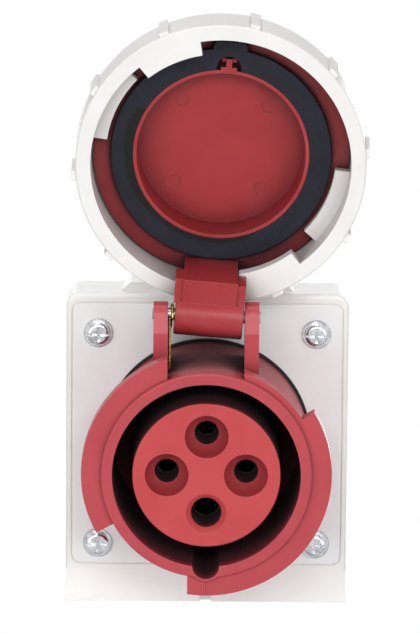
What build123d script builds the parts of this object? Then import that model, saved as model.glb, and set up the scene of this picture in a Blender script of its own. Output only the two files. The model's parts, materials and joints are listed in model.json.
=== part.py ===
"""Wall-mounted industrial socket for four pins, with a hinged lid and a bayonet lock ring.

Units are millimetres. The wall is the plane Y = 0, the front looks along -Y and +Z is up.
The box front leans, so the socket looks a little downwards. Everything that sits on the
box front is drawn on the socket frame: x to the right, y up along the front plate and z out
of the plate along the socket's axis. The lid and its ring are drawn closed, then swung open.
"""
import os
from math import cos, radians, sin, sqrt, tan

from build123d import *

# Wall box
BOX_WIDTH = 90.6
BOX_HEIGHT = 101.0
BOX_WALL = 2.5
BOX_CORNER_R = 4.2
BOX_EDGE_R = 1.2
FACE_TILT = 10.0  # degrees that the front face looks down
FACE_DEPTH = 47.9  # wall to plate face, on the socket's axis
FACE_HEIGHT = 3.0  # height of the socket's axis where it meets the plate face
SKIRT_START = 43.5  # from the socket's axis down the face to the upright skirt
PAD_BASE_WIDTH = 55.6
PAD_TOP_WIDTH = 50.0
PAD_HEIGHT = 2.6
PAD_LENGTH = 34.0
ENTRY_R = 12.7
ENTRY_DEPTH = 25.0  # wall to the centre of the cable entry
DRAIN_WIDTH = 3.8
DRAIN_HEIGHT = 2.1
FIXING_SPACING_X = 60.0
FIXING_SPACING_Z = 72.0
FIXING_HOLE_R = 2.75

# Front plate, its seal and its four screws
PLATE_SIZE = 86.6
PLATE_RISE = 1.6  # plate centre above the socket's axis
PLATE_T = 3.0
PLATE_CORNER_R = 2.7
PLATE_GROOVE = 0.35
PLATE_EDGE_R = 0.35
BOX_SEAL_T = 1.0
BOX_SEAL_WIDTH = 2.3
LEDGE_T = 3.5
SCREW_PITCH = 70.0
SCREW_R = 1.95
SCREW_LENGTH = 18.0
SCREW_HEAD_R = 3.8
SCREW_HEAD_H = 2.2
CROSS_WIDTH = 0.9
CROSS_SPAN = 4.8
CROSS_DEPTH = 1.3
SLOT_DEPTH = 0.7
WASHER_R = 4.55
WASHER_T = 0.8
WASHER_SINK = 0.5
POST_R = 4.2
POST_LENGTH = 24.0
POST_WEB_T = 3.0

# Socket body
TUBE_R = 32.6
BORE_R = 29.9
BORE_FLOOR_Z = 2.0
BORE_FLOOR_T = 3.0
RIM_Z = 45.3
RIM_R = 33.4
RIM_STEP = 1.7  # rim face above the bayonet flange
RIM_CHAMFER = 0.4
FLANGE_R = 39.7
FLANGE_T = 5.0
LEDGE_R = 35.4
FLANGE_RIGHT_START = -100.0
FLANGE_RIGHT_END = 31.3
FLANGE_LEFT_END = 209.0
KEYWAY_WIDTH = 8.6
KEYWAY_CENTRE_R = 29.5
KEYWAY_WALL = 1.0
KEYWAY_STEP_X = -5.85  # where the flange starts, left of the keyway
KNIT_LINE = 0.25
SPIGOT_R = 30.8
SPIGOT_WALL = 2.3
SPIGOT_END_Z = -10.0
BODY_SEAL_R = 33.5
BODY_SEAL_T = 1.2
NUT_R = 36.0
NUT_T = 5.0
NUT_NOTCHES = 12
NUT_NOTCH_R = 1.6
RUNNING_GAP = 0.1

# Hinge
HINGE_Y = 47.9  # above the socket's axis
HINGE_Z = 27.3  # in front of the plate
HINGE_SKEW = 2.25  # degrees: the pin lies this far out of level in its loose ears
OPEN_ANGLE = 175.0
EAR_LEFT_X = -12.55  # inner faces of the ears
EAR_RIGHT_X = 11.75
EAR_T = 4.6
EAR_R = 4.5
EAR_FOOT = 4.0
EAR_FRONT_GAP = 0.6
EAR_BACK_Z = 10.0
PIN_R = 2.0
PIN_OVERHANG = 0.4
PIN_EDGE = 0.3
BARREL_R = 6.7
BARREL_LEFT_X = -10.4
BARREL_RIGHT_X = 11.2
BARREL_EDGE = 0.3
HINGE_SLACK = 0.1
SPRING_WIRE_R = 0.45
SPRING_COIL_R = 3.6
SPRING_PITCH = 1.0

# Contact insert and contacts
INSERT_R = 23.46
INSERT_DROP = 1.3  # insert face behind the rim face
INSERT_FLANGE_T = 3.0
INSERT_TAIL_R = 22.0
INSERT_TAIL_Z = -14.0
BACK_PLATE_T = 2.0
CONTACT_PITCH_R = 12.55
CONTACT_GAP = 0.1
CONTACT_WALL = 0.7
PHASE_PIN_R = 3.05
PHASE_RECESS_R = 6.95
PHASE_RECESS_DEPTH = 5.6
PHASE_BELLY = (5.95, -3.1)  # radius and depth where the recess curves over
PHASE_DROP = 15.0  # insert face to the sleeve's mouth
EARTH_PIN_R = 4.05
EARTH_RECESS_R = 6.45
EARTH_RECESS_DEPTH = 1.7
EARTH_DROP = 13.0
SLEEVE_DEPTH = 30.0
TERMINAL_SIZE = 9.0
TERMINAL_LENGTH = 9.0
TERMINAL_GAP = 0.5
WIRE_HOLE_R = 2.6
TERMINAL_SCREW_R = 2.0
INSERT_SCREW_PITCH_R = 26.0
INSERT_SCREW_R = 1.2
INSERT_SCREW_HEAD_R = 2.0
INSERT_SCREW_HEAD_H = 1.8
BACK_SCREW_R = 1.8
BACK_SCREW_HEAD_R = 3.4

# Lid, drawn closed
CLOSED_GAP = 0.3
LID_LIP_R = 27.95
LID_LIP_T = 1.05
LID_CUP_DEPTH = 11.0
LID_WALL = 2.2
LID_DISC_R = 40.6
LID_DISC_T = 2.5
LID_DISC_DROP = 2.0  # disc face behind the gasket face
GASKET_R = 34.9
GASKET_GAP = 0.1
GASKET_SEAT = 1.0
GASKET_TAB_WIDTH = 10.8
GASKET_TAB_R = 37.3
GASKET_TAB_CORNER = 1.8
NOTCH_R = 3.9  # notch in the gasket at the keyway
NOTCH_PITCH_R = 28.6
HOOK_PAD_WIDTH = 5.0
HOOK_PAD_T = 0.9
HOOK_RIB_WIDTH = 1.8
HOOK_HEAD_WIDTH = 4.6
HOOK_HEAD_T = 1.2
HOOK_REACH = 31.6
HOOK_HEAD_DROP = 1.1
ARM_WIDTH = 17.0
ARM_INNER_Y = 35.2
ARM_T = 5.2
BLOCK_FACE = 4.25  # hinge axis to the block's face
BLOCK_EDGE_R = 0.7
WING_DROP = 0.7  # the wings' face behind the block's face
WING_LEFT_X = -11.15
WING_LEFT_END_Y = 43.2  # leaves room for the spring
WING_RIGHT_START = 0.9
EJECTOR_R = 2.2
EJECTOR_DEPTH = 0.2
EJECTOR_PITCH_R = 19.5

# Lock ring, drawn closed and unlocked
RING_R = 46.0
RING_BORE_R = 41.2
RING_LENGTH = 18.0
RING_BACK_R = 5.0
RING_FRONT_EDGE = 0.4
RING_LIP_R = 37.0
RING_LIP_T = 1.8
LUG_R = 36.7
LUG_T = 4.2
LUG_ANGLES = ((47.6, 76.1), (226.7, 256.0))
SNAP_R = 36.5
SNAP_T = 3.0
SNAP_ANGLES = ((2.5, 38.5), (183.5, 218.5))
RIB_COUNT = 10
RIB_FIRST_ANGLE = 26.5
RIB_WIDTH = 3.2
RIB_HEIGHT = 1.3
LOCK_ANGLE = 48.0
STOP_CLEARANCE = 1.0  # degrees between a locked lug and its stop rib
STOP_WIDTH = 1.8  # degrees
STOP_REACH = 5.0

# Worked out from the sizes above
FACE_PLANE = Plane(
    origin=(0, -FACE_DEPTH, FACE_HEIGHT),
    x_dir=(1, 0, 0),
    z_dir=(0, -cos(radians(FACE_TILT)), -sin(radians(FACE_TILT))),
)
POCKET_Z = -(PLATE_T + BOX_SEAL_T)
FLANGE_FRONT_Z = RIM_Z - RIM_STEP
FLANGE_BACK_Z = FLANGE_FRONT_Z - FLANGE_T
LUG_FRONT_Z = FLANGE_BACK_Z - CLOSED_GAP
RING_FRONT_Z = LUG_FRONT_Z - LUG_T
EAR_FRONT_Z = RING_FRONT_Z - EAR_FRONT_GAP
INSERT_FACE_Z = RIM_Z - INSERT_DROP
GASKET_FACE_Z = RIM_Z + CLOSED_GAP
DISC_FACE_Z = GASKET_FACE_Z + LID_DISC_DROP
DISC_BACK_Z = DISC_FACE_Z + LID_DISC_T
CUP_FLOOR_Z = GASKET_FACE_Z + LID_CUP_DEPTH
RING_BACK_Z = RING_FRONT_Z + RING_LENGTH
PIN_REACH = EAR_T - EAR_LEFT_X + PIN_OVERHANG
EAR_HOLE_R = PIN_R + PIN_REACH * tan(radians(HINGE_SKEW)) + HINGE_SLACK
BARREL_BORE_R = PIN_R + BARREL_RIGHT_X * tan(radians(HINGE_SKEW)) + HINGE_SLACK
HINGE_POINT = FACE_PLANE.from_local_coords(Vector(0, HINGE_Y, HINGE_Z))
HINGE_DIRECTION = (
    FACE_PLANE.x_dir * cos(radians(HINGE_SKEW)) - FACE_PLANE.y_dir * sin(radians(HINGE_SKEW))
)
HINGE_AXIS = Axis(HINGE_POINT, HINGE_DIRECTION)
CONTACT_SPOTS = {
    "contact_l1": (-CONTACT_PITCH_R, 0.0),
    "contact_l2": (0.0, CONTACT_PITCH_R),
    "contact_l3": (CONTACT_PITCH_R, 0.0),
    "contact_earth": (0.0, -CONTACT_PITCH_R),
}
SCREW_SPOTS = {
    "top_left": (-SCREW_PITCH / 2, SCREW_PITCH / 2),
    "top_right": (SCREW_PITCH / 2, SCREW_PITCH / 2),
    "bottom_left": (-SCREW_PITCH / 2, -SCREW_PITCH / 2),
    "bottom_right": (SCREW_PITCH / 2, -SCREW_PITCH / 2),
}


def disc(radius, z0, z1, x=0.0, y=0.0):
    """A round bar along z from z0 to z1."""
    return Pos(x, y, (z0 + z1) / 2) * Cylinder(radius, z1 - z0)


def ring(outer_r, inner_r, z0, z1, x=0.0, y=0.0):
    """A plain ring along z from z0 to z1."""
    over = 1.0
    return disc(outer_r, z0, z1, x, y) - disc(inner_r, z0 - over, z1 + over, x, y)


def block(x0, x1, y0, y1, z0, z1):
    """A box between two corners."""
    centre = Pos((x0 + x1) / 2, (y0 + y1) / 2, (z0 + z1) / 2)
    return centre * Box(x1 - x0, y1 - y0, z1 - z0)


def sector(outer_r, inner_r, start, end, z0, z1):
    """A ring cut to the angles from start to end, in degrees."""
    outer = CenterArc((0, 0), outer_r, start, end - start)
    inner = CenterArc((0, 0), inner_r, start, end - start)
    sides = [Line(outer @ 0, inner @ 0), Line(outer @ 1, inner @ 1)]
    face = make_face(Curve() + [outer, inner, *sides])
    return Pos(0, 0, z0) * extrude(face, z1 - z0)


def turned(points):
    """A solid turned about z from (radius, z) points."""
    profile = Polyline([(r, 0, z) for r, z in points], close=True)
    return revolve(make_face(profile), Axis.Z)


def rounded_plate(width, height, corner_r, z0, z1):
    """A plate with rounded corners, centred on the plate's own centre."""
    sketch = RectangleRounded(width, height, corner_r)
    return Pos(0, PLATE_RISE, z0) * extrude(sketch, z1 - z0)


def on_face(solid):
    """Move a solid from the socket frame to its place on the box."""
    return FACE_PLANE.location * solid


def opened(solid):
    """Move a solid from the socket frame to its place with the lid open."""
    return on_face(solid).rotate(HINGE_AXIS, -OPEN_ANGLE)


def face_point(inset, depth=None, height=None):
    """The (Y, Z) point of the inset front face that lies at a depth or at a height."""
    tilt = radians(FACE_TILT)
    start_y = -FACE_DEPTH + inset * cos(tilt)
    start_z = FACE_HEIGHT + inset * sin(tilt)
    if height is not None:
        run = (height - start_z) / cos(tilt)
    else:
        run = (start_y - depth) / sin(tilt)
    return start_y - run * sin(tilt), start_z + run * cos(tilt)


def wedge(width, wall, front):
    """The box form, inset by a wall thickness and a front thickness."""
    tilt = radians(FACE_TILT)
    skirt_y = -FACE_DEPTH + SKIRT_START * sin(tilt) + wall
    top, bottom = BOX_HEIGHT / 2 - wall, wall - BOX_HEIGHT / 2
    points = [
        (-wall, bottom),
        (skirt_y, bottom),
        face_point(front, depth=skirt_y),
        face_point(front, height=top),
        (-wall, top),
    ]
    profile = make_face(Polyline(points, close=True))
    return extrude(Plane.YZ * profile, width / 2, both=True)


def wall_box():
    shell = wedge(BOX_WIDTH, 0.0, 0.0)
    shell = fillet(shell.edges().filter_by(Axis.Y).group_by(Axis.Z)[-1], BOX_CORNER_R)
    front = shell.faces().sort_by(lambda face: -face.normal_at().dot(FACE_PLANE.z_dir))[0]
    shell = fillet(front.edges(), BOX_EDGE_R)
    shell += entry_pad()
    shell -= wedge(BOX_WIDTH - 2 * BOX_WALL, BOX_WALL, LEDGE_T - POCKET_Z)

    groove = 2 * PLATE_GROOVE
    pocket = rounded_plate(
        PLATE_SIZE + groove, PLATE_SIZE + groove, PLATE_CORNER_R + PLATE_GROOVE, POCKET_Z, 1.0
    )
    throat_size = PLATE_SIZE - 2 * BOX_SEAL_WIDTH
    throat = rounded_plate(
        throat_size, throat_size, PLATE_CORNER_R, POCKET_Z - LEDGE_T - 1.0, POCKET_Z
    )
    shell -= on_face(pocket + throat)

    for x, y in SCREW_SPOTS.values():
        shell += on_face(screw_post(x, y)) & wedge(BOX_WIDTH - BOX_WALL, BOX_WALL / 2, 0.0)
    for x, y in SCREW_SPOTS.values():
        shell -= on_face(disc(SCREW_R + RUNNING_GAP, -SCREW_LENGTH - 2.0, 0.0, x, y))

    through = 4 * BOX_WALL
    for x in (-FIXING_SPACING_X / 2, FIXING_SPACING_X / 2):
        for z in (-FIXING_SPACING_Z / 2, FIXING_SPACING_Z / 2):
            shell -= Pos(x, 0, z) * Rot(90, 0, 0) * Cylinder(FIXING_HOLE_R, through)
    shell -= Pos(0, -ENTRY_DEPTH, BOX_HEIGHT / 2) * Cylinder(ENTRY_R, through + 2 * PAD_HEIGHT)
    skirt_y = -FACE_DEPTH + SKIRT_START * sin(radians(FACE_TILT))
    shell -= Pos(0, skirt_y, -BOX_HEIGHT / 2) * Box(DRAIN_WIDTH, through, 2 * DRAIN_HEIGHT)
    return shell


def entry_pad():
    """The thicker pad on top of the box, round the cable entry."""
    top = BOX_HEIGHT / 2
    half_base, half_top = PAD_BASE_WIDTH / 2, PAD_TOP_WIDTH / 2
    points = [
        (-half_base, top),
        (-half_top, top + PAD_HEIGHT),
        (half_top, top + PAD_HEIGHT),
        (half_base, top),
        (half_base, top - BOX_WALL / 2),
        (-half_base, top - BOX_WALL / 2),
    ]
    profile = make_face(Polyline(points, close=True))
    return Pos(0, -ENTRY_DEPTH, 0) * extrude(Plane.XZ * profile, PAD_LENGTH / 2, both=True)


def screw_post(x, y):
    """A plate screw's post inside the box, with webs to the side wall and the end wall."""
    side, end = (1 if x > 0 else -1), (1 if y > 0 else -1)
    z0, z1 = -PLATE_T - POST_LENGTH, -PLATE_T
    web_z1 = POCKET_Z - LEDGE_T
    reach_x, reach_y = BOX_WIDTH / 2, abs(y) + 2 * POST_R
    half = POST_WEB_T / 2
    post = disc(POST_R, z0, z1, x, y)
    post += block(*sorted((x, side * reach_x)), y - half, y + half, z0, web_z1)
    post += block(x - half, x + half, *sorted((y, end * reach_y)), z0, web_z1)
    return post


def front_plate():
    plate = rounded_plate(PLATE_SIZE, PLATE_SIZE, PLATE_CORNER_R, -PLATE_T, 0.0)
    plate = fillet(plate.faces().sort_by(Axis.Z)[-1].edges(), PLATE_EDGE_R)
    plate -= disc(SPIGOT_R + 2 * RUNNING_GAP, -PLATE_T - 1.0, 1.0)
    for x, y in SCREW_SPOTS.values():
        plate -= disc(SCREW_R + 2 * RUNNING_GAP, -PLATE_T - 1.0, 1.0, x, y)
        plate -= disc(WASHER_R + 2 * RUNNING_GAP, -WASHER_SINK, 1.0, x, y)
    return plate


def box_seal():
    outer = PLATE_SIZE
    inner = outer - 2 * BOX_SEAL_WIDTH
    seal = rounded_plate(outer, outer, PLATE_CORNER_R, POCKET_Z, -PLATE_T)
    return seal - rounded_plate(inner, inner, PLATE_CORNER_R, POCKET_Z - 1.0, 0.0)


def plate_screw(x, y):
    head_z = WASHER_T - WASHER_SINK
    top_z = head_z + SCREW_HEAD_H
    head = disc(SCREW_HEAD_R, head_z, top_z, x, y)
    head = fillet(head.edges().group_by(Axis.Z)[-1], SCREW_HEAD_H * 0.6)
    half, span = CROSS_WIDTH / 2, CROSS_SPAN / 2
    head -= block(x - half, x + half, y - span, y + span, top_z - CROSS_DEPTH, top_z + 1.0)
    head -= block(x - span, x + span, y - half, y + half, top_z - CROSS_DEPTH, top_z + 1.0)
    reach = SCREW_HEAD_R + 1.0
    head -= block(x - reach, x + reach, y - half, y + half, top_z - SLOT_DEPTH, top_z + 1.0)
    return head + disc(SCREW_R, -SCREW_LENGTH, head_z, x, y)


def screw_washers():
    washers = []
    for x, y in SCREW_SPOTS.values():
        hole_r = SCREW_R + 2 * RUNNING_GAP
        washers.append(ring(WASHER_R, hole_r, -WASHER_SINK, WASHER_T - WASHER_SINK, x, y))
    return Compound(children=washers)


def socket_body():
    keyway_r = KEYWAY_WIDTH / 2
    rim = disc(RIM_R, FLANGE_BACK_Z, RIM_Z)
    keyway_boss = disc(keyway_r + KEYWAY_WALL, BODY_SEAL_T, RIM_Z, 0, -KEYWAY_CENTRE_R)
    body = disc(TUBE_R, BODY_SEAL_T, FLANGE_BACK_Z)
    for piece in (rim, keyway_boss):
        body += chamfer(piece.edges().group_by(Axis.Z)[-1], RIM_CHAMFER)

    inside_r = BORE_R + 1.0
    arcs = (
        (FLANGE_R, FLANGE_RIGHT_START, FLANGE_RIGHT_END),
        (FLANGE_R, 90.0, FLANGE_LEFT_END),
        (LEDGE_R, FLANGE_RIGHT_END - 1.0, 90.0),
    )
    for radius, start, end in arcs:
        arc = sector(radius, inside_r, start, end, FLANGE_BACK_Z, FLANGE_FRONT_Z)
        arc -= block(EAR_LEFT_X, EAR_RIGHT_X, BORE_R, FLANGE_R + 1.0, FLANGE_BACK_Z, FLANGE_FRONT_Z)
        arc -= block(EAR_LEFT_X, KEYWAY_STEP_X, -FLANGE_R - 1.0, -BORE_R, FLANGE_BACK_Z, FLANGE_FRONT_Z)
        body += arc
    for start, _ in LUG_ANGLES:
        stop = start - LOCK_ANGLE - STOP_CLEARANCE
        stop_r = TUBE_R + STOP_REACH
        body += sector(stop_r, inside_r, stop - STOP_WIDTH, stop, RING_FRONT_Z, FLANGE_BACK_Z)
    body += hinge_ear(EAR_LEFT_X - EAR_T)
    body += hinge_ear(EAR_RIGHT_X)

    body += disc(SPIGOT_R, SPIGOT_END_Z, BODY_SEAL_T)
    body -= disc(SPIGOT_R - SPIGOT_WALL, SPIGOT_END_Z - 1.0, BORE_FLOOR_Z - BORE_FLOOR_T)
    body -= disc(INSERT_R + RUNNING_GAP, SPIGOT_END_Z, RIM_Z)
    body -= disc(BORE_R, BORE_FLOOR_Z, RIM_Z + 1.0)
    body -= disc(keyway_r, BORE_FLOOR_Z, RIM_Z + 1.0, 0, -KEYWAY_CENTRE_R)
    body -= block(-keyway_r, keyway_r, -KEYWAY_CENTRE_R, 0, BORE_FLOOR_Z, RIM_Z + 1.0)
    knit_y = -KEYWAY_CENTRE_R - keyway_r - KEYWAY_WALL
    knit_z = FLANGE_FRONT_Z - KNIT_LINE / 2
    body -= block(-KNIT_LINE / 2, KNIT_LINE / 2, -FLANGE_R - 1.0, knit_y, knit_z, FLANGE_FRONT_Z + 1.0)
    for x, y in insert_screw_spots():
        floor_z = BORE_FLOOR_Z - BORE_FLOOR_T
        body -= disc(INSERT_SCREW_R, floor_z - 1.0, floor_z + BORE_FLOOR_T * 0.8, x, y)
    return body


def hinge_ear(x):
    """One hinge ear from x to the right, with a hole loose enough for the skewed pin."""
    foot_y = TUBE_R - EAR_FOOT
    corners = [(foot_y, EAR_BACK_Z), (foot_y, EAR_FRONT_Z), (HINGE_Y - EAR_R, EAR_FRONT_Z)]
    outline = Curve() + [Line(a, b) for a, b in zip(corners, corners[1:])]
    outline += CenterArc((HINGE_Y, HINGE_Z), EAR_R, 0, 360)
    ear = Pos(x, 0, 0) * extrude(Plane.YZ * make_hull(outline.edges()), EAR_T)
    return ear - Pos(x, HINGE_Y, HINGE_Z) * Rot(0, 90, 0) * Cylinder(EAR_HOLE_R, 4 * EAR_T)


def body_seal():
    return ring(BODY_SEAL_R, SPIGOT_R + RUNNING_GAP, 0.0, BODY_SEAL_T)


def body_lock_nut():
    nut = ring(NUT_R, SPIGOT_R + RUNNING_GAP, -PLATE_T - NUT_T, -PLATE_T)
    for spot in PolarLocations(NUT_R, NUT_NOTCHES):
        nut -= spot * Cylinder(NUT_NOTCH_R, 4 * NUT_T)
    return nut


def insert_screw_spots():
    spread = INSERT_SCREW_PITCH_R * sqrt(0.5)
    return ((spread, spread), (-spread, -spread))


def contact_hole_r(name):
    pin_r = EARTH_PIN_R if name == "contact_earth" else PHASE_PIN_R
    return pin_r + CONTACT_WALL + CONTACT_GAP


def contact_insert():
    flange_z = BORE_FLOOR_Z - BORE_FLOOR_T
    flange_r = SPIGOT_R - SPIGOT_WALL - 2 * RUNNING_GAP
    insert = disc(INSERT_R, flange_z, INSERT_FACE_Z)
    insert = fillet(insert.edges().group_by(Axis.Z)[-1], RIM_CHAMFER)
    insert += disc(flange_r, flange_z - INSERT_FLANGE_T, flange_z)
    insert += disc(INSERT_TAIL_R, INSERT_TAIL_Z, flange_z)
    for name, (x, y) in CONTACT_SPOTS.items():
        hole_r = contact_hole_r(name)
        if name == "contact_earth":
            recess = Pos(0, 0, -EARTH_RECESS_DEPTH / 2) * Cone(hole_r, EARTH_RECESS_R, EARTH_RECESS_DEPTH)
        else:
            recess = phase_recess(hole_r)
        insert -= Pos(x, y, INSERT_FACE_Z) * recess
        insert -= disc(hole_r, INSERT_TAIL_Z - 1.0, INSERT_FACE_Z, x, y)
    for x, y in insert_screw_spots():
        hole_r = INSERT_SCREW_R + RUNNING_GAP
        insert -= disc(hole_r, flange_z - INSERT_FLANGE_T - 1.0, flange_z + 1.0, x, y)
    return insert - disc(BACK_SCREW_R, INSERT_TAIL_Z - 1.0, 0.0)


def phase_recess(hole_r):
    """A recess whose wall starts steep and curves over towards the hole."""
    belly_r, belly_z = PHASE_BELLY
    wall = ThreePointArc((PHASE_RECESS_R, 0, 0), (belly_r, 0, belly_z), (hole_r, 0, -PHASE_RECESS_DEPTH))
    floor = Polyline((hole_r, 0, -PHASE_RECESS_DEPTH), (0, 0, -PHASE_RECESS_DEPTH), (0, 0, 1))
    mouth = Polyline((0, 0, 1), (PHASE_RECESS_R, 0, 1), (PHASE_RECESS_R, 0, 0))
    return revolve(make_face(Curve() + [wall, floor, mouth]), Axis.Z)


def contact(name):
    """A turned sleeve with a clamp terminal on its tail."""
    x, y = CONTACT_SPOTS[name]
    pin_r, drop = (EARTH_PIN_R, EARTH_DROP) if name == "contact_earth" else (PHASE_PIN_R, PHASE_DROP)
    mouth_z = INSERT_FACE_Z - drop
    floor_z = mouth_z - SLEEVE_DEPTH
    tail_z = INSERT_TAIL_Z - BACK_PLATE_T - TERMINAL_GAP
    half = TERMINAL_SIZE / 2
    piece = disc(pin_r + CONTACT_WALL, tail_z, mouth_z, x, y)
    piece -= disc(pin_r, floor_z, mouth_z + 1.0, x, y)
    piece += block(x - half, x + half, y - half, y + half, tail_z - TERMINAL_LENGTH, tail_z)
    piece -= disc(WIRE_HOLE_R, tail_z - TERMINAL_LENGTH - 1.0, tail_z - 1.0, x, y)
    return piece - terminal_screw(x, y, TERMINAL_SCREW_R, 4.0 * TERMINAL_SIZE)


def terminal_screw(x, y, radius, length):
    """A clamp screw that enters its terminal from the outside of the insert."""
    reach = sqrt(x * x + y * y)
    out_x, out_y = x / reach, y / reach
    start = WIRE_HOLE_R - 0.6
    z = INSERT_TAIL_Z - BACK_PLATE_T - TERMINAL_GAP - TERMINAL_LENGTH / 2 - 0.8
    base = Plane(origin=(x + out_x * start, y + out_y * start, z), z_dir=(out_x, out_y, 0))
    return base * Pos(0, 0, length / 2) * Cylinder(radius, length)


def terminal_screws():
    screws = []
    for x, y in CONTACT_SPOTS.values():
        screws.append(terminal_screw(x, y, TERMINAL_SCREW_R - 0.05, 3.6))
    return Compound(children=screws)


def insert_back_plate():
    plate = disc(INSERT_TAIL_R, INSERT_TAIL_Z - BACK_PLATE_T, INSERT_TAIL_Z)
    for name, (x, y) in CONTACT_SPOTS.items():
        plate -= disc(contact_hole_r(name), INSERT_TAIL_Z - 2 * BACK_PLATE_T, INSERT_TAIL_Z + 1.0, x, y)
    return plate - disc(BACK_SCREW_R + RUNNING_GAP, INSERT_TAIL_Z - 2 * BACK_PLATE_T, 0.0)


def back_plate_screw():
    face_z = INSERT_TAIL_Z - BACK_PLATE_T
    screw = disc(BACK_SCREW_HEAD_R, face_z - SCREW_HEAD_H, face_z)
    screw += disc(BACK_SCREW_R - 0.05, face_z, face_z + 12.0)
    reach = 2 * BACK_SCREW_HEAD_R
    half = CROSS_WIDTH / 2
    return screw - block(-reach, reach, -half, half, face_z - SCREW_HEAD_H - 1.0, face_z - SCREW_HEAD_H + 0.8)


def insert_screws():
    head_top = BORE_FLOOR_Z - BORE_FLOOR_T - INSERT_FLANGE_T
    screws = []
    for x, y in insert_screw_spots():
        screw = disc(INSERT_SCREW_HEAD_R, head_top - INSERT_SCREW_HEAD_H, head_top, x, y)
        screw += disc(INSERT_SCREW_R - 0.05, head_top, head_top + INSERT_FLANGE_T + 2.0, x, y)
        screws.append(screw)
    return Compound(children=screws)


def hinge_pin():
    """The pin, lying along the skewed hinge axis."""
    left, right = -PIN_REACH, EAR_RIGHT_X + EAR_T + PIN_OVERHANG
    pin = chamfer(Cylinder(PIN_R, right - left).edges(), PIN_EDGE)
    direction = (cos(radians(HINGE_SKEW)), -sin(radians(HINGE_SKEW)), 0)
    return Plane(origin=(0, HINGE_Y, HINGE_Z), z_dir=direction) * Pos(0, 0, (left + right) / 2) * pin


def hinge_spring():
    """One turn round the pin and a leg down the inside of the left ear."""
    start_x = EAR_LEFT_X + SPRING_WIRE_R + RUNNING_GAP
    coil_path = Helix(pitch=SPRING_PITCH, height=SPRING_PITCH, radius=SPRING_COIL_R)
    section = Plane(origin=coil_path @ 0, z_dir=coil_path % 0) * Circle(SPRING_WIRE_R)
    coil = sweep(section, path=coil_path, is_frenet=True)
    coil = Pos(start_x, HINGE_Y, HINGE_Z) * Rot(0, 90, 0) * Rot(0, 0, 180) * coil
    leg_end_y = sqrt(TUBE_R**2 - start_x**2) + SPRING_WIRE_R + 0.6
    leg_length = HINGE_Y - leg_end_y
    leg = Pos(start_x, HINGE_Y - leg_length / 2, HINGE_Z + SPRING_COIL_R)
    return coil + leg * Rot(90, 0, 0) * Cylinder(SPRING_WIRE_R, leg_length)


def lid():
    """Cup, seal seat and disc turned in one, with the hinge arm moulded on."""
    back_z = CUP_FLOOR_Z + LID_WALL
    seat_z = DISC_FACE_Z + GASKET_SEAT
    floor_r = LID_LIP_R - LID_LIP_T - 0.7
    shell = turned(
        [
            (0.0, CUP_FLOOR_Z),
            (floor_r, CUP_FLOOR_Z),
            (LID_LIP_R - LID_LIP_T, GASKET_FACE_Z),
            (LID_LIP_R, GASKET_FACE_Z),
            (LID_LIP_R, seat_z),
            (GASKET_R + GASKET_GAP, seat_z),
            (GASKET_R + GASKET_GAP, DISC_FACE_Z),
            (LID_DISC_R, DISC_FACE_Z),
            (LID_DISC_R, DISC_BACK_Z),
            (LID_LIP_R + LID_WALL, DISC_BACK_Z),
            (LID_LIP_R + LID_WALL - 1.0, back_z - 2.5),
            (LID_LIP_R - 1.5, back_z),
            (0.0, back_z),
        ]
    )
    shell -= gasket_tab(GASKET_GAP, DISC_FACE_Z - 1.0, seat_z)
    shell += gasket_hook(seat_z)
    for spot in PolarLocations(EJECTOR_PITCH_R, 4, start_angle=45):
        shell -= spot * disc(EJECTOR_R, CUP_FLOOR_Z - 1.0, CUP_FLOOR_Z + EJECTOR_DEPTH)
    return shell + hinge_arm()


def gasket_hook(seat_z):
    """A pad, a rib and a head that hold the gasket at its notch."""
    sink = 0.5
    lip_y = LID_LIP_R - LID_LIP_T
    pad = HOOK_PAD_WIDTH / 2
    rib = HOOK_RIB_WIDTH / 2
    head = HOOK_HEAD_WIDTH / 2
    hook = block(-pad, pad, -LID_LIP_R - HOOK_PAD_T, -lip_y, GASKET_FACE_Z, seat_z + sink)
    hook += block(-rib, rib, -HOOK_REACH, -lip_y, GASKET_FACE_Z, seat_z + sink)
    head_y = -HOOK_REACH + HOOK_HEAD_T
    head_z = GASKET_FACE_Z + HOOK_HEAD_DROP
    return hook + block(-head, head, -HOOK_REACH, head_y, head_z, seat_z + sink)


def gasket_tab(gap, z0, z1):
    """The tab that covers the keyway, grown by a gap all round."""
    half = GASKET_TAB_WIDTH / 2 + gap
    reach = GASKET_TAB_R + gap
    tab = block(-half, half, -reach, -NOTCH_PITCH_R - NOTCH_R, z0, z1)
    return fillet(tab.edges().filter_by(Axis.Z).group_by(Axis.Y)[0], GASKET_TAB_CORNER)


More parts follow.
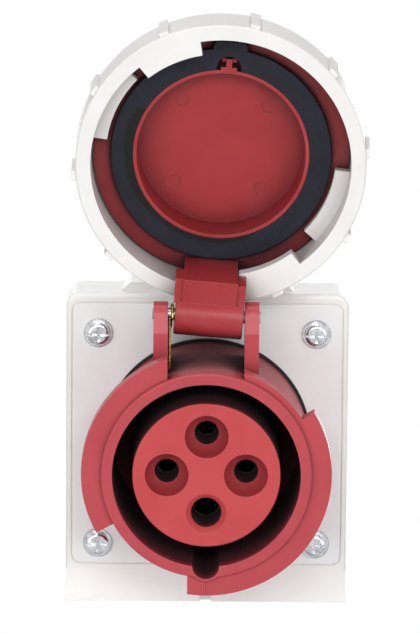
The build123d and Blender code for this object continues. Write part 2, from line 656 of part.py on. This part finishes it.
def hinge_arm():
    """The arm inside the ring, the block in front of the ring's edge and the hinge barrel."""
    half = ARM_WIDTH / 2
    face_z = HINGE_Z - BLOCK_FACE
    wing_z = face_z + WING_DROP
    back_z = RING_FRONT_Z - CLOSED_GAP
    arm = block(-half, half, ARM_INNER_Y, ARM_INNER_Y + ARM_T, face_z, DISC_BACK_Z)
    arm &= disc(LID_DISC_R, face_z, DISC_BACK_Z)
    pad = block(-half, half, ARM_INNER_Y, HINGE_Y, face_z, back_z)
    front_edge = pad.edges().filter_by(Axis.X).sort_by(lambda edge: edge.center().Y + edge.center().Z)[0]
    arm += fillet(front_edge, BLOCK_EDGE_R)
    arm += block(WING_LEFT_X, 0, ARM_INNER_Y, WING_LEFT_END_Y, wing_z, back_z)
    arm += block(0, BARREL_RIGHT_X, ARM_INNER_Y + WING_RIGHT_START, HINGE_Y, wing_z, back_z)
    arm += block(BARREL_LEFT_X, 0, ARM_INNER_Y, HINGE_Y, wing_z, back_z)
    width = BARREL_RIGHT_X - BARREL_LEFT_X
    barrel = Cylinder(BARREL_R, width)
    barrel = chamfer(barrel.edges().filter_by(GeomType.CIRCLE), BARREL_EDGE)
    arm += Pos((BARREL_LEFT_X + BARREL_RIGHT_X) / 2, HINGE_Y, HINGE_Z) * Rot(0, 90, 0) * barrel
    bore = Pos(0, HINGE_Y, HINGE_Z) * Rot(0, 90, 0) * Cylinder(BARREL_BORE_R, 4 * width)
    trim = ring(RING_BORE_R + 20.0, LID_DISC_R, back_z, RING_BACK_Z)
    return arm - bore - trim


def lid_gasket():
    seat_z = DISC_FACE_Z + GASKET_SEAT
    gasket = ring(GASKET_R, LID_LIP_R + GASKET_GAP, GASKET_FACE_Z, seat_z)
    tab = gasket_tab(0.0, GASKET_FACE_Z, seat_z)
    gasket += tab - disc(LID_LIP_R + GASKET_GAP, GASKET_FACE_Z - 1.0, seat_z + 1.0)
    notch = disc(NOTCH_R, GASKET_FACE_Z - 1.0, seat_z + 1.0, 0, -NOTCH_PITCH_R)
    return gasket - notch


def lock_ring():
    body = disc(RING_R, RING_FRONT_Z, RING_BACK_Z)
    body = fillet(body.edges().group_by(Axis.Z)[-1], RING_BACK_R)
    body = chamfer(body.edges().group_by(Axis.Z)[0], RING_FRONT_EDGE)
    body -= disc(RING_BORE_R, RING_FRONT_Z - 1.0, RING_BACK_Z - RING_LIP_T)
    body -= disc(RING_LIP_R, RING_FRONT_Z, RING_BACK_Z + 1.0)
    overlap_r = RING_BORE_R + 1.0
    for start, end in LUG_ANGLES:
        body += sector(overlap_r, LUG_R, start, end, RING_FRONT_Z, LUG_FRONT_Z)
    snap_z = DISC_FACE_Z - CLOSED_GAP
    for start, end in SNAP_ANGLES:
        body += sector(overlap_r, SNAP_R, start, end, snap_z - SNAP_T, snap_z)
    return body + ring_ribs()


def ring_ribs():
    """Grip ribs along the ring, which slope into the rounded back edge."""
    root_r, tip_r = RING_R - 1.0, RING_R + RIB_HEIGHT
    points = [
        (root_r, 0, RING_FRONT_Z + 0.6),
        (tip_r, 0, RING_FRONT_Z + 0.6),
        (tip_r, 0, RING_BACK_Z - RING_BACK_R),
        (root_r, 0, RING_BACK_Z - RING_BACK_R * 0.35),
    ]
    rib = extrude(make_face(Polyline(points, close=True)), RIB_WIDTH / 2, both=True)
    ribs = [spot * rib for spot in PolarLocations(0, RIB_COUNT, start_angle=RIB_FIRST_ANGLE)]
    return ribs[0].fuse(*ribs[1:])


def all_parts():
    fixed = {
        "box_seal": box_seal(),
        "front_plate": front_plate(),
        "screw_washers": screw_washers(),
        "socket_body": socket_body(),
        "body_seal": body_seal(),
        "body_lock_nut": body_lock_nut(),
        "contact_insert": contact_insert(),
        "terminal_screws": terminal_screws(),
        "insert_back_plate": insert_back_plate(),
        "back_plate_screw": back_plate_screw(),
        "insert_screws": insert_screws(),
        "hinge_pin": hinge_pin(),
        "hinge_spring": hinge_spring(),
    }
    for name in CONTACT_SPOTS:
        fixed[name] = contact(name)
    for place, (x, y) in SCREW_SPOTS.items():
        fixed[f"plate_screw_{place}"] = plate_screw(x, y)
    moving = {"lid": lid(), "lid_gasket": lid_gasket(), "lock_ring": lock_ring()}
    parts = {"wall_box": wall_box()}
    parts |= {name: on_face(solid) for name, solid in fixed.items()}
    parts |= {name: opened(solid) for name, solid in moving.items()}
    return parts


os.makedirs("parts", exist_ok=True)
for name, solid in all_parts().items():
    export_step(solid, f"parts/{name}.step")
print("hinge point", tuple(round(v, 4) for v in HINGE_POINT))
print("hinge axis", tuple(round(v, 6) for v in HINGE_AXIS.direction))
LID_AXIS = Axis(FACE_PLANE.origin, FACE_PLANE.z_dir).direction.rotate(
    Axis((0, 0, 0), HINGE_DIRECTION), -OPEN_ANGLE
)
print("lid axis", tuple(round(v, 6) for v in LID_AXIS))
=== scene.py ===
"""Studio picture of a wall-mounted industrial socket whose lid is swung open.

Metres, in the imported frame: the wall is the plane Y = 0, the front looks along -Y and +Z is up.
"""
import json
import math

import bpy
from mathutils import Matrix, Vector


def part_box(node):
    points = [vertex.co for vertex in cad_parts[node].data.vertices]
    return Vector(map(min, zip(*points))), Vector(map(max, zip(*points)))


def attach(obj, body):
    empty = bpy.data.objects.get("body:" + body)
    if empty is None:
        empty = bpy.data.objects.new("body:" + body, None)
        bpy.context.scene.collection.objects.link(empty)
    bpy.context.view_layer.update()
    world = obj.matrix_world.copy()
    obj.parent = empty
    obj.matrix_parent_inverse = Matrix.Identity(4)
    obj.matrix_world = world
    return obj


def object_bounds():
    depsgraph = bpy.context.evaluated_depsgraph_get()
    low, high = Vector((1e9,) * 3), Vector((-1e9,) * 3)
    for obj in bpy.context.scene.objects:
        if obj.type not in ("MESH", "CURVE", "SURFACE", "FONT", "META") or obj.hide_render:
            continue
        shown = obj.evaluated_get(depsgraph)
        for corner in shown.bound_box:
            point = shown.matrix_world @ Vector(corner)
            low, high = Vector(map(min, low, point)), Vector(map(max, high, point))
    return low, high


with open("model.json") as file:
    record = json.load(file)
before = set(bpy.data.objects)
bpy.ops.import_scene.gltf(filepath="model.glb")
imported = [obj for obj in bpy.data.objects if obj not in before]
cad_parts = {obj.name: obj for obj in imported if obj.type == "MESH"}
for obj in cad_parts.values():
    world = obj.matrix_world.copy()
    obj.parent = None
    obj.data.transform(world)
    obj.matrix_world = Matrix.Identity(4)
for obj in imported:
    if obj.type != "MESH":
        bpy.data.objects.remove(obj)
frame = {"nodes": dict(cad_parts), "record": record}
CAD_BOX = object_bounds()
MM = 0.001

# The front plate leans: the socket's axis comes out of it at this angle below level
FACE_TILT = math.radians(10.0)
FACE_CENTRE = Vector((0.0, -47.9, 3.0)) * MM

# The plate sits in the box with a narrow gap all round, which a lip closes just below its face
PLATE_HALF = 43.3 * MM
PLATE_RISE = 1.6 * MM  # plate centre above the socket's axis
PLATE_CORNER_R = 2.7 * MM
PLATE_GAP = 0.35 * MM
LIP_DROP, LIP_BACK = 0.40 * MM, 1.3 * MM  # the lip's front and back, below the plate's face
LIP_CLEARANCE = 0.02 * MM
CORNER_STEPS = 8

# Camera, fitted to the round edges and the four screws of the photograph
LOOK_DOWN = math.radians(4.13)
CAMERA_DISTANCE = 2.176
CAMERA_RIGHT = 0.73 * MM
CAMERA_UP = 39.51 * MM
CAMERA_ROLL = math.radians(0.48)
CAMERA_LENS = 383.8  # mm
CAMERA_SENSOR = 36.0  # mm
CAMERA_RANGE = (0.1, 50.0)

# A round floor, which fades into the white background between two shares of its radius
FLOOR_DROP = 0.30  # below the object, which hangs on a wall
FLOOR_R = 1.25
FLOOR_SIDES = 64
FLOOR_FADE = (0.10, 0.80)
FLOOR_TONE = 0.9

# Lamps: place, width, height, and how bright each alone makes a white surface that faces it
LAMPS = {
    "left": ((-1.35, -1.60, -0.05), 1.3, 0.9, 0.26),
    "right": ((1.35, -1.60, -0.05), 1.3, 0.9, 0.28),
    "front": ((0.0, -2.20, 0.60), 1.5, 0.5, 0.405),
    "top": ((-0.20, -0.35, 1.80), 0.7, 0.7, 0.40),
    "back": ((0.30, 2.20, -0.15), 1.4, 1.0, 0.55),
}
LAMP_TARGET = FACE_CENTRE + Vector((0.0, 0.0, 0.035))
WORLD_LEVEL = 0.12  # what the world lights with
WHITE_LEVEL = 1.0  # what the camera, mirrors and glass see of it

# Painted shade down gaps in the plastic: how far a wall is felt, and the openness at which the painted
# shade is full and the surface plain
GAP_REACH = 30.0 * MM
GAP_FADE = (0.22, 0.70)
GAP_ROUGHNESS = 0.92

# Edges: the radius that a finish rounds them by, and how strongly its paler edge shows, partly wear and
# partly painted highlight
PLASTIC_EDGE_R = 0.25 * MM
RUBBER_EDGE_R = 0.3 * MM
METAL_EDGE_R = 0.12 * MM
EDGE_LEAN = (0.99, 0.80)  # cosine between rounded and flat normal: on a flat, and at a full edge
EDGE_WEAR_AND_HIGHLIGHT = 0.55

# Noise scales, for a place in metres
FLOW_CLOUDS = 55.0
FLOW_STREAKS = 210.0
HAZE_PATCHES = 26.0
PLASTIC_SHEEN = 900.0
PLASTIC_GRAIN = 5200.0
PLASTIC_SINK = 85.0
RUBBER_BLOOM = 160.0
RUBBER_SHEEN = 1400.0
RUBBER_GRAIN = 2600.0
RUBBED_EDGE = 340.0
TARNISH = 420.0
WORKING_MARKS = 3800.0
NOISE_SPAN = (0.3, 0.7)  # where most of a noise's values lie

# Where the lid gasket is rubbed bare: nearer to its centre than these, and this far to one side
RUBBED_RADII = (29.6 * MM, 32.4 * MM)
RUBBED_SIDE = (-0.75, 0.0, -0.66)
RUBBED_SHIFT = (4.0 * MM, 16.0 * MM)

# Colours in 0..255 display values
# The first and the third are painted shade: the colours that red and white plastic fall to down gaps and
# holes
GAP_SHADE_RED = (38, 6, 12)
HAZE_RED = (184, 84, 94)
GAP_SHADE_WHITE = (172, 168, 164)
PRESSED_BLACK = (8, 8, 10)

# Light and dark tone, paler edge (partly wear, partly painted highlight), roughness, then the painted shade
# down gaps and the colour of dull patches
PLASTICS = {
    "box_white": ((245, 245, 242), (240, 240, 237), (248, 248, 246), 0.46),
    "plate_white": ((245, 246, 246), (240, 241, 241), (249, 249, 249), 0.44),
    "ring_white": ((243, 242, 240), (238, 236, 233), (248, 248, 247), 0.38, GAP_SHADE_WHITE),
    "shell_red": ((187, 70, 78), (180, 63, 72), (219, 120, 127), 0.40, GAP_SHADE_RED),
    "insert_red": ((196, 70, 73), (189, 63, 67), (218, 112, 114), 0.48, GAP_SHADE_RED),
    # The lid's red is the shell's plastic made darker: painted shade for the open lid, which faces down
    "lid_red": ((167, 46, 50), (156, 39, 43), (212, 112, 116), 0.42, GAP_SHADE_RED, HAZE_RED),
    "back_plastic": ((64, 65, 68), (56, 57, 60), (84, 85, 88), 0.50),
}

# Light and dark tone, roughness, then the colour where it is rubbed bare
RUBBERS = {
    "gasket_black": ((31, 34, 45), (22, 24, 32), 0.60, PRESSED_BLACK),
    "seal_black": ((38, 37, 38), (26, 26, 27), 0.55),
}

# Clean and tarnished tone, roughness, then how the working marks are squeezed along X, Y and Z
METALS = {
    "screw_steel": ((228, 230, 235), (176, 177, 181), 0.20),
    "pin_steel": ((178, 178, 182), (120, 120, 124), 0.30, (1.0, 6.0, 6.0)),
    # The contacts' two tones are kept dark: painted shade of the deep holes that they sit in
    "contact_metal": ((62, 60, 57), (38, 36, 33), 0.42, (6.0, 1.0, 6.0)),
    "spring_brass": ((214, 180, 104), (158, 118, 52), 0.27),
}


def srgb(r, g, b):
    """A colour given in 0..255 display values, as linear RGBA."""
    linear = []
    for value in (r, g, b):
        v = value / 255
        linear.append(v / 12.92 if v <= 0.04045 else ((v + 0.055) / 1.055) ** 2.4)
    return (*linear, 1.0)


class Nodes:
    """The node tree of a material or the world, with short calls for what is built from it."""

    def __init__(self, owner, output="ShaderNodeOutputMaterial"):
        owner.use_nodes = True
        self.owner = owner
        self.tree = owner.node_tree
        self.tree.nodes.clear()
        self.output = self.add(output)

    def add(self, kind, **settings):
        node = self.tree.nodes.new(kind)
        for key, value in settings.items():
            setattr(node, key, value)
        return node

    def link(self, source, target):
        self.tree.links.new(source, target)

    def place(self):
        """The place on the object, which moves with it."""
        return self.add("ShaderNodeTexCoord").outputs["Object"]

    def noise(self, scale, detail=2.0, roughness=0.5, distortion=0.0, stretch=None):
        place = self.place()
        if stretch:
            mapping = self.add("ShaderNodeMapping")
            mapping.inputs["Scale"].default_value = stretch
            self.link(place, mapping.inputs["Vector"])
            place = mapping.outputs["Vector"]
        node = self.add("ShaderNodeTexNoise")
        self.link(place, node.inputs["Vector"])
        node.inputs["Scale"].default_value = scale
        node.inputs["Detail"].default_value = detail
        node.inputs["Roughness"].default_value = roughness
        node.inputs["Distortion"].default_value = distortion
        return node.outputs["Fac"]

    def spread(self, value, low, high, to_low=0.0, to_high=1.0):
        """Maps low..high to to_low..to_high, and holds the ends beyond them."""
        node = self.add("ShaderNodeMapRange")
        self.link(value, node.inputs["Value"])
        for key, number in zip(("From Min", "From Max", "To Min", "To Max"), (low, high, to_low, to_high)):
            node.inputs[key].default_value = number
        return node.outputs["Result"]

    def mix(self, factor, a, b):
        """Colour a at factor 0 and b at factor 1. Each is a display colour or a socket."""
        node = self.add("ShaderNodeMix", data_type="RGBA")
        self.link(factor, node.inputs["Factor"])
        for key, value in (("A", a), ("B", b)):
            socket = next(s for s in node.inputs if s.name == key and s.type == "RGBA")
            if isinstance(value, tuple):
                socket.default_value = srgb(*value)
            else:
                self.link(value, socket)
        return next(s for s in node.outputs if s.type == "RGBA")

    def math(self, operation, a, b):
        node = self.add("ShaderNodeMath", operation=operation)
        for i, value in enumerate((a, b)):
            if isinstance(value, (int, float)):
                node.inputs[i].default_value = value
            else:
                self.link(value, node.inputs[i])
        return node.outputs[0]

    def vector_math(self, operation, a, b=None, result="Vector"):
        """a is a socket. b, where the operation takes one, is a socket or a fixed vector."""
        node = self.add("ShaderNodeVectorMath", operation=operation)
        self.link(a, node.inputs[0])
        if isinstance(b, bpy.types.NodeSocket):
            self.link(b, node.inputs[1])
        elif b is not None:
            node.inputs[1].default_value = b
        return node.outputs[result]

    def soft_edges(self, radius):
        """A normal that rounds every edge by a radius."""
        node = self.add("ShaderNodeBevel", samples=6)
        node.inputs["Radius"].default_value = radius
        return node.outputs["Normal"]

    def edge_mask(self, rounded):
        """0 on the flats and up to 1 at the edges that soft_edges rounds."""
        flat = self.add("ShaderNodeNewGeometry").outputs["Normal"]
        return self.spread(self.vector_math("DOT_PRODUCT", flat, rounded, "Value"), *EDGE_LEAN)

    def openness(self, reach):
        """1 on open faces, falling towards 0 down holes and gaps that are narrower than the reach."""
        node = self.add("ShaderNodeAmbientOcclusion", samples=8)
        node.inputs["Distance"].default_value = reach
        return node.outputs["AO"]

    def bump(self, height, strength, distance, normal):
        node = self.add("ShaderNodeBump")
        node.inputs["Strength"].default_value = strength
        node.inputs["Distance"].default_value = distance
        self.link(height, node.inputs["Height"])
        self.link(normal, node.inputs["Normal"])
        return node.outputs["Normal"]

    def seen_by(self, *rays):
        """1 for the named kinds of ray and 0 for all others."""
        path = self.add("ShaderNodeLightPath")
        seen = path.outputs[rays[0]]
        for ray in rays[1:]:
            seen = self.math("MAXIMUM", seen, path.outputs[ray])
        return seen

    def glow(self, kind, strength):
        """A white background or emission of the given strength."""
        node = self.add(kind)
        node.inputs["Color"].default_value = (1.0, 1.0, 1.0, 1.0)
        node.inputs["Strength"].default_value = strength
        return node.outputs[0]

    def mix_shaders(self, factor, a, b):
        node = self.add("ShaderNodeMixShader")
        self.link(factor, node.inputs["Fac"])
        self.link(a, node.inputs[1])
        self.link(b, node.inputs[2])
        return node.outputs[0]

    def finish(self, surface):
        self.link(surface, self.output.inputs["Surface"])
        return self.owner

    def shader(self, colour, roughness, normal, **settings):
        node = self.add("ShaderNodeBsdfPrincipled")
        self.link(colour, node.inputs["Base Color"])
        self.link(roughness, node.inputs["Roughness"])
        self.link(normal, node.inputs["Normal"])
        for key, value in settings.items():
            node.inputs[key.replace("_", " ")].default_value = value
        return self.finish(node.outputs["BSDF"])


def moulded(name, light, dark, edge, gloss, painted_gap_shade=None, haze=None):
    """Injection-moulded plastic: flow clouds, a fine spark-eroded grain and paler edges, partly wear and
    partly a painted highlight.
    The colour given after the gloss is painted shade that it falls to down narrow gaps and holes, and haze
    is the colour of its dull patches."""
    n = Nodes(bpy.data.materials.new(name))
    clouds = n.noise(FLOW_CLOUDS, detail=3.0, distortion=0.4)
    streaks = n.noise(FLOW_STREAKS, detail=2.0, stretch=(1.0, 1.0, 0.25))
    flow = n.math("ADD", n.math("MULTIPLY", clouds, 0.75), n.math("MULTIPLY", streaks, 0.25))
    body = n.mix(n.spread(flow, 0.35, 0.65), dark, light)
    if haze:
        patches = n.noise(HAZE_PATCHES, detail=3.0, distortion=0.8)
        body = n.mix(n.spread(patches, 0.48, 0.70, to_high=0.45), body, haze)
    rounded = n.soft_edges(PLASTIC_EDGE_R)
    # Paler edges: partly wear, partly a painted highlight along the rounded edges
    colour = n.mix(n.math("MULTIPLY", n.edge_mask(rounded), EDGE_WEAR_AND_HIGHLIGHT), body, edge)
    roughness = n.spread(n.noise(PLASTIC_SHEEN, detail=4.0), *NOISE_SPAN, gloss - 0.05, gloss + 0.06)
    # Painted shade: where ambient occlusion finds walls near, the colour falls to the given dark colour
    if painted_gap_shade:
        openness = n.openness(GAP_REACH)
        colour = n.mix(n.spread(openness, *GAP_FADE), painted_gap_shade, colour)
        roughness = n.math("MAXIMUM", roughness, n.spread(openness, *GAP_FADE, GAP_ROUGHNESS, 0.0))
    grain = n.noise(PLASTIC_GRAIN, detail=3.0, roughness=0.6)
    normal = n.bump(grain, 0.05, 0.05 * MM, rounded)
    normal = n.bump(n.noise(PLASTIC_SINK, detail=1.0), 0.10, 0.10 * MM, normal)
    return n.shader(colour, roughness, normal, Specular_IOR_Level=0.42)


def pressed_patches(n):
    """Where the lid gasket is rubbed bare: ragged patches at its inner edge, to the left and below."""
    low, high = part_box("lid_gasket")
    offset = n.vector_math("SUBTRACT", n.place(), (low + high) / 2)
    radius = n.vector_math("LENGTH", offset, result="Value")
    shift = n.vector_math("DOT_PRODUCT", offset, RUBBED_SIDE, "Value")
    inner = n.spread(radius, *RUBBED_RADII, 1.0, 0.0)
    where = n.math("MULTIPLY", inner, n.spread(shift, *RUBBED_SHIFT))
    ragged = n.math("MULTIPLY", where, n.noise(RUBBED_EDGE, detail=4.0, distortion=0.7))
    return n.spread(ragged, 0.24, 0.30)


def rubber(name, light, dark, gloss, pressed=None):
    """Moulded rubber with a dusty bloom. pressed is the colour where it is rubbed bare."""
    n = Nodes(bpy.data.materials.new(name))
    bloom = n.noise(RUBBER_BLOOM, detail=5.0, roughness=0.65, distortion=0.6)
    colour = n.mix(n.spread(bloom, 0.38, 0.68), dark, light)
    roughness = n.spread(n.noise(RUBBER_SHEEN, detail=3.0), *NOISE_SPAN, gloss - 0.07, gloss + 0.07)
    if pressed:
        colour = n.mix(pressed_patches(n), colour, pressed)
    grain = n.noise(RUBBER_GRAIN, detail=4.0)
    normal = n.bump(grain, 0.12, 0.06 * MM, n.soft_edges(RUBBER_EDGE_R))
    return n.shader(colour, roughness, normal, Specular_IOR_Level=0.26)


def metal(name, clean, tarnished, gloss, squeeze=(1.0, 1.0, 1.0)):
    """Plated metal with fine working marks and a faint tarnish."""
    n = Nodes(bpy.data.materials.new(name))
    tarnish = n.noise(TARNISH, detail=4.0, roughness=0.6, distortion=0.5)
    colour = n.mix(n.spread(tarnish, 0.36, 0.66), clean, tarnished)
    marks = n.noise(WORKING_MARKS, detail=2.0, stretch=squeeze)
    roughness = n.spread(marks, *NOISE_SPAN, gloss - 0.06, gloss + 0.08)
    normal = n.bump(marks, 0.05, 0.03 * MM, n.soft_edges(METAL_EDGE_R))
    return n.shader(colour, roughness, normal, Metallic=1.0)


def make_finishes():
    finishes = {}
    for maker, looks in ((moulded, PLASTICS), (rubber, RUBBERS), (metal, METALS)):
        for name, look in looks.items():
            finishes[name] = maker(name, *look)
    return finishes


def dress_cad_nodes(finishes):
    slots = {part["node"]: part["material_slot"] for part in frame["record"]["subparts"]}
    for name, piece in frame["nodes"].items():
        slot = slots[name]
        piece.data.materials.clear()
        piece.data.materials.append(finishes[slot])


def on_face(across, up, out):
    """A point given across, up and out from the plate's face."""
    lean, level = math.sin(FACE_TILT), math.cos(FACE_TILT)
    return FACE_CENTRE + Vector((across, -lean * up - level * out, level * up - lean * out))


def rounded_square(half, corner_r):
    """The outline of a square with round corners, about the plate's centre."""
    points = []
    for quarter in range(4):
        start = quarter * math.pi / 2
        centre = Matrix.Rotation(start, 2) @ Vector((half - corner_r, half - corner_r))
        for step in range(CORNER_STEPS + 1):
            angle = start + step / CORNER_STEPS * math.pi / 2
            points.append(centre + corner_r * Vector((math.cos(angle), math.sin(angle))))
    return points


def add_mesh(name, verts, faces, material):
    mesh = bpy.data.meshes.new(name)
    mesh.from_pydata(verts, [], faces)
    mesh.materials.append(material)
    return add_object(name, mesh)


def add_object(name, data):
    piece = bpy.data.objects.new(name, data)
    bpy.context.scene.collection.objects.link(piece)
    return piece


def make_plate_lip(material):
    """The thin moulded lip of the box that closes the gap round the front plate."""
    grow = PLATE_GAP - LIP_CLEARANCE
    inner = rounded_square(PLATE_HALF + LIP_CLEARANCE, PLATE_CORNER_R + LIP_CLEARANCE)
    outer = rounded_square(PLATE_HALF + grow, PLATE_CORNER_R + grow)
    rows = ((inner, LIP_DROP), (outer, LIP_DROP), (outer, LIP_BACK), (inner, LIP_BACK))
    verts = [on_face(p.x, p.y + PLATE_RISE, -drop) for outline, drop in rows for p in outline]
    count = len(inner)
    faces = []
    for row in range(len(rows)):
        here, beyond = row * count, (row + 1) % len(rows) * count
        for i in range(count):
            j = (i + 1) % count
            faces.append((here + i, here + j, beyond + j, beyond + i))
    lip = add_mesh("plate_gap_lip", verts, faces, material)
    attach(lip, "base")


def make_world():
    """A world that lights softly, and that the camera, mirrors and glass see as white."""
    world = bpy.data.worlds.new("studio")
    bpy.context.scene.world = world
    n = Nodes(world, "ShaderNodeOutputWorld")
    lit = n.glow("ShaderNodeBackground", WORLD_LEVEL)
    white = n.glow("ShaderNodeBackground", WHITE_LEVEL)
    seen = n.seen_by("Is Camera Ray", "Is Glossy Ray", "Is Transmission Ray")
    n.finish(n.mix_shaders(seen, lit, white))


def floor_material():
    """Matte and pale, and for the camera and mirrors glowing white towards the floor's rim."""
    n = Nodes(bpy.data.materials.new("floor"))
    start, end = FLOOR_FADE
    radius = n.vector_math("LENGTH", n.place(), result="Value")
    fade = n.spread(radius, start * FLOOR_R, end * FLOOR_R)
    matte = n.add("ShaderNodeBsdfDiffuse")
    matte.inputs["Color"].default_value = (FLOOR_TONE, FLOOR_TONE, FLOOR_TONE, 1.0)
    faded = n.mix_shaders(fade, matte.outputs[0], n.glow("ShaderNodeEmission", WHITE_LEVEL))
    return n.finish(n.mix_shaders(n.seen_by("Is Camera Ray", "Is Glossy Ray"), matte.outputs[0], faded))


def make_floor():
    """A pale round floor that fades into the white background towards its rim."""
    low, _ = CAD_BOX
    angles = [2 * math.pi * i / FLOOR_SIDES for i in range(FLOOR_SIDES)]
    rim = [(FLOOR_R * math.cos(angle), FLOOR_R * math.sin(angle), 0.0) for angle in angles]
    floor = add_mesh("floor", rim, [tuple(range(FLOOR_SIDES))], floor_material())
    floor.location = (0.0, 0.0, low.z - FLOOR_DROP)


def make_lamp(name, place, width, height, level):
    """A soft lamp that looks at the socket."""
    lamp = bpy.data.lights.new(name, "AREA")
    lamp.shape = "RECTANGLE"
    lamp.size, lamp.size_y = width, height
    way = LAMP_TARGET - Vector(place)
    lamp.energy = level * (math.pi * way.length) ** 2
    piece = add_object(name, lamp)
    piece.location = place
    piece.rotation_mode = "QUATERNION"
    piece.rotation_quaternion = way.to_track_quat("-Z", "Y")


def make_camera():
    backward = Vector((0.0, -math.cos(LOOK_DOWN), math.sin(LOOK_DOWN)))
    up = Vector((0.0, math.sin(LOOK_DOWN), math.cos(LOOK_DOWN)))
    right = Vector((1.0, 0.0, 0.0))
    place = FACE_CENTRE + CAMERA_DISTANCE * backward + CAMERA_RIGHT * right + CAMERA_UP * up
    level = Matrix((right, up, backward)).transposed()
    camera = bpy.data.cameras.new("camera")
    camera.lens = CAMERA_LENS
    camera.sensor_width = CAMERA_SENSOR
    camera.clip_start, camera.clip_end = CAMERA_RANGE
    piece = add_object("camera", camera)
    piece.matrix_world = Matrix.Translation(place) @ (level @ Matrix.Rotation(CAMERA_ROLL, 3, "Z")).to_4x4()
    bpy.context.scene.camera = piece


finishes = make_finishes()
dress_cad_nodes(finishes)
make_plate_lip(finishes["box_white"])
make_world()
make_floor()
for lamp_name, lamp_settings in LAMPS.items():
    make_lamp(lamp_name, *lamp_settings)
make_camera()
bpy.context.scene.view_settings.view_transform = "Standard"
